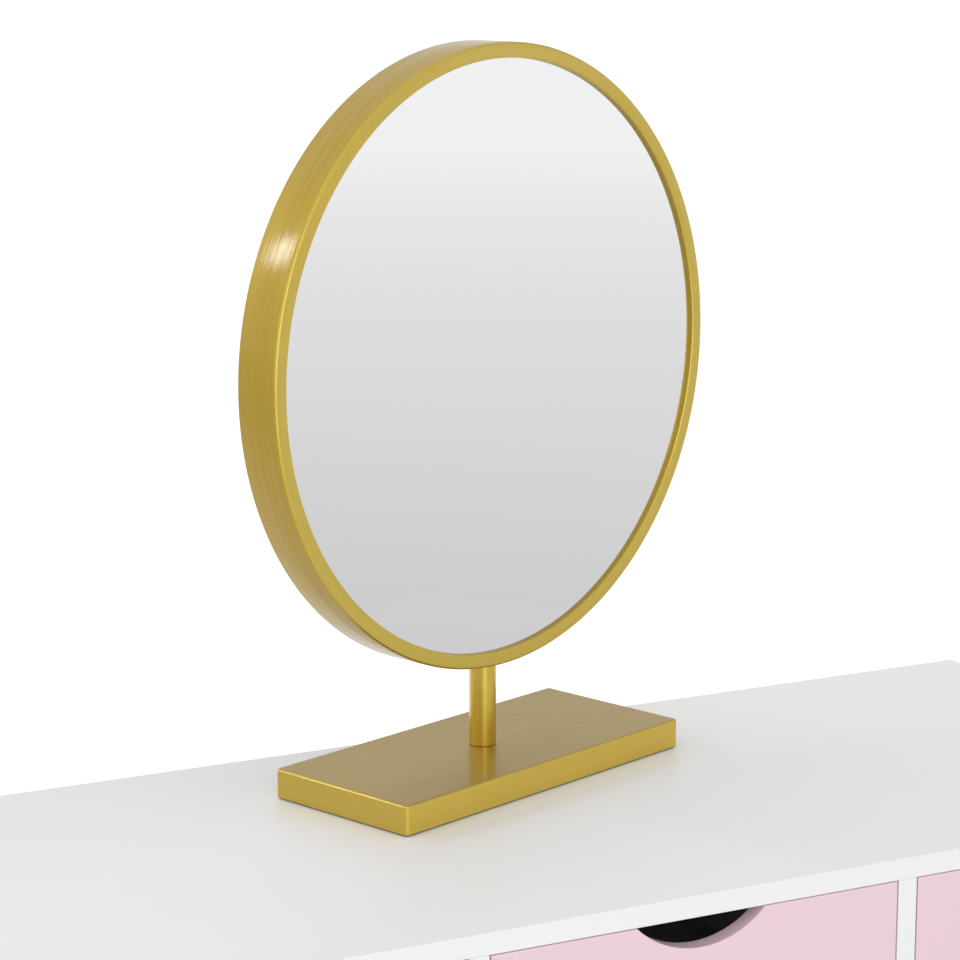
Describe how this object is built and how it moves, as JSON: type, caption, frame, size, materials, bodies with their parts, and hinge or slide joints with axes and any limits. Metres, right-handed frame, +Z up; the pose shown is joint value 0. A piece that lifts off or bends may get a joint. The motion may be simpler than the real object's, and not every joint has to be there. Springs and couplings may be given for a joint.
{
  "type": "dressing table",
  "caption": "White dressing table with pink inset drawers with half-moon finger cut-outs, splayed turned legs, and a round gold mirror standing at an angle on its top.",
  "frame": {"origin": "on the floor, in the middle of the table's footprint", "axes": "+Z up; the drawers face -Y; +X to the right of a person who faces the drawers"},
  "size_m": [1, 0.421, 1.2921],
  "materials": {
    "white_board": "white melamine-faced board, satin, with matching edge band",
    "white_hardboard": "white-coated hardboard",
    "drawer_board": "white foil-wrapped board",
    "pink_lacquer": "pale pink satin paint on board",
    "beech": "clear-oiled beech",
    "zinc_steel": "zinc-plated",
    "runner_plastic": "moulded, matt",
    "glide_plastic": "moulded, matt black",
    "gold_lacquer": "satin gold lacquer over brushed metal",
    "felt": "black felt",
    "mirror_glass": "silvered glass",
    "foam": "thin foam sheet",
    "dark_board": "black-coated hardboard"
  },
  "bodies": {
    "table": {"top_panel": "white_board", "bottom_panel": "white_board", "left_side_panel": "white_board", "right_side_panel": "white_board", "left_divider": "white_board", "right_divider": "white_board", "back_panel": "white_hardboard", "carcass_cam_locks": "zinc_steel", "carcass_cam_bolts": "zinc_steel", "carcass_dowels": "beech", "left_drawer_runners": "runner_plastic", "middle_drawer_runners": "runner_plastic", "right_drawer_runners": "runner_plastic", "runner_screws": "zinc_steel", "front_left_leg": "beech", "front_right_leg": "beech", "back_left_leg": "beech", "back_right_leg": "beech", "front_left_leg_plate": "zinc_steel", "front_right_leg_plate": "zinc_steel", "back_left_leg_plate": "zinc_steel", "back_right_leg_plate": "zinc_steel", "leg_plate_screws": "zinc_steel", "leg_bolts": "zinc_steel", "leg_glides": "glide_plastic"},
    "left_drawer": {"left_drawer_front": "pink_lacquer", "left_drawer_left_side": "drawer_board", "left_drawer_right_side": "drawer_board", "left_drawer_back": "drawer_board", "left_drawer_bottom": "white_hardboard", "left_drawer_fixings": "zinc_steel"},
    "middle_drawer": {"middle_drawer_front": "pink_lacquer", "middle_drawer_left_side": "drawer_board", "middle_drawer_right_side": "drawer_board", "middle_drawer_back": "drawer_board", "middle_drawer_bottom": "white_hardboard", "middle_drawer_fixings": "zinc_steel"},
    "right_drawer": {"right_drawer_front": "pink_lacquer", "right_drawer_left_side": "drawer_board", "right_drawer_right_side": "drawer_board", "right_drawer_back": "drawer_board", "right_drawer_bottom": "white_hardboard", "right_drawer_fixings": "zinc_steel"},
    "mirror": {"mirror_base": "gold_lacquer", "mirror_base_felt": "felt", "mirror_base_screw": "zinc_steel", "mirror_post": "gold_lacquer", "mirror_post_plugs": "zinc_steel", "mirror_ring": "gold_lacquer", "mirror_glass": "mirror_glass", "mirror_foam_sheet": "foam", "mirror_post_bracket": "zinc_steel", "mirror_bracket_screws": "zinc_steel", "mirror_cover_blocks": "beech", "mirror_back_cover": "dark_board", "mirror_cover_screws": "zinc_steel"}
  },
  "joints": [
    {"name": "left_drawer_slide", "type": "slide", "parent": "table", "child": "left_drawer", "axis": [0, -1, 0], "range_m": [0, 0.24]},
    {"name": "middle_drawer_slide", "type": "slide", "parent": "table", "child": "middle_drawer", "axis": [0, -1, 0], "range_m": [0, 0.24]},
    {"name": "right_drawer_slide", "type": "slide", "parent": "table", "child": "right_drawer", "axis": [0, -1, 0], "range_m": [0, 0.24]},
    {"name": "mirror_lift", "type": "slide", "parent": "table", "child": "mirror", "axis": [0, 0, 1], "range_m": [0, 0.1]}
  ]
}
